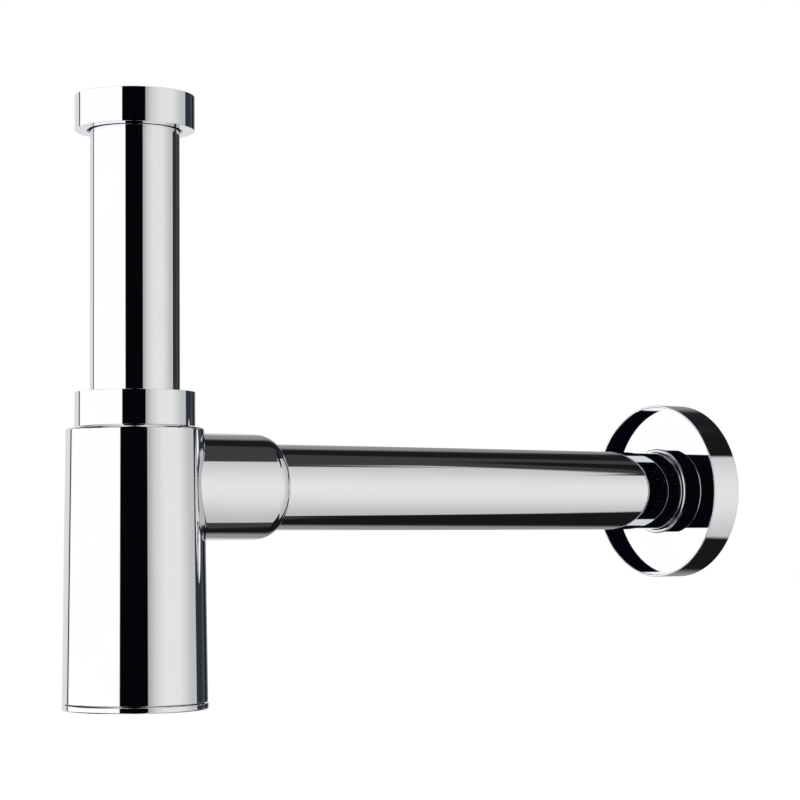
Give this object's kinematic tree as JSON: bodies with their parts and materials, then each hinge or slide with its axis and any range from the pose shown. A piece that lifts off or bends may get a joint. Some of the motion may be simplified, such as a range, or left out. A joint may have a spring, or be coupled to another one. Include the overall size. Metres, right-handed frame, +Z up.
{
  "type": "sink trap",
  "caption": "Chromed brass bottle trap for a basin: dip tube with round union nut, tapered bottle with screwed base cap, straight outlet tube and dished wall flange.",
  "frame": {"origin": "centre of the base cap's flat underside, on the bottle's axis", "axes": "+Z up along the bottle and the inlet tube, +X along the outlet tube towards the wall"},
  "size_m": [0.305, 0.0716, 0.2184],
  "materials": {
    "chrome": "polished",
    "rubber": "matte",
    "nylon": "matte"
  },
  "bodies": {
    "inlet": {"inlet_tube": "chrome", "inlet_washer": "rubber"},
    "union_nut": {"inlet_union_nut": "chrome"},
    "height_seal": {"collar_cone_seal": "rubber"},
    "bottle": {"trap_body": "chrome", "outlet_ring_inner": "rubber", "outlet_ring_outer": "rubber"},
    "slip_ring": {"collar_slip_ring": "nylon"},
    "collar": {"collar_nut": "chrome"},
    "cap_ring": {"base_cap_ring": "rubber"},
    "cap": {"base_cap": "chrome"},
    "outlet": {"outlet_tube": "chrome"},
    "grip_ring": {"flange_grip_ring": "rubber"},
    "flange": {"wall_flange": "chrome"}
  },
  "joints": [
    {"name": "union_nut_turn", "type": "hinge", "parent": "inlet", "child": "union_nut", "pos_m": [0, 0, 0.2122], "axis": [0, 0, 1], "continuous": true},
    {"name": "body_height", "type": "slide", "parent": "inlet", "child": "height_seal", "axis": [0, 0, 1], "range_m": [-0.04, 0.008]},
    {"name": "body_swivel", "type": "hinge", "parent": "height_seal", "child": "bottle", "pos_m": [0, 0, 0.1069], "axis": [0, 0, 1], "continuous": true},
    {"name": "collar_lift", "type": "slide", "parent": "bottle", "child": "slip_ring", "axis": [0, 0, 1], "range_m": [0, 0.006]},
    {"name": "collar_nut_turn", "type": "hinge", "parent": "slip_ring", "child": "collar", "pos_m": [0, 0, 0.106], "axis": [0, 0, 1], "range_deg": [0, 1440]},
    {"name": "base_cap_drop", "type": "slide", "parent": "bottle", "child": "cap_ring", "axis": [0, 0, -1], "range_m": [0, 0.0075]},
    {"name": "base_cap_turn", "type": "hinge", "parent": "cap_ring", "child": "cap", "pos_m": [0, 0, 0.005], "axis": [0, 0, -1], "range_deg": [0, 1800]},
    {"name": "outlet_reach", "type": "slide", "parent": "bottle", "child": "outlet", "axis": [1, 0, 0], "range_m": [-0.0006, 0.014]},
    {"name": "flange_reach", "type": "slide", "parent": "outlet", "child": "grip_ring", "axis": [1, 0, 0], "range_m": [-0.192, 0.01]},
    {"name": "flange_turn", "type": "hinge", "parent": "grip_ring", "child": "flange", "pos_m": [0.2588, 0, 0.0789], "axis": [1, 0, 0], "continuous": true}
  ],
  "couplings": [
    {"joint": "collar_lift", "follows": "collar_nut_turn", "m_per_rad": 0.00023873},
    {"joint": "base_cap_drop", "follows": "base_cap_turn", "m_per_rad": 0.00023873}
  ]
}
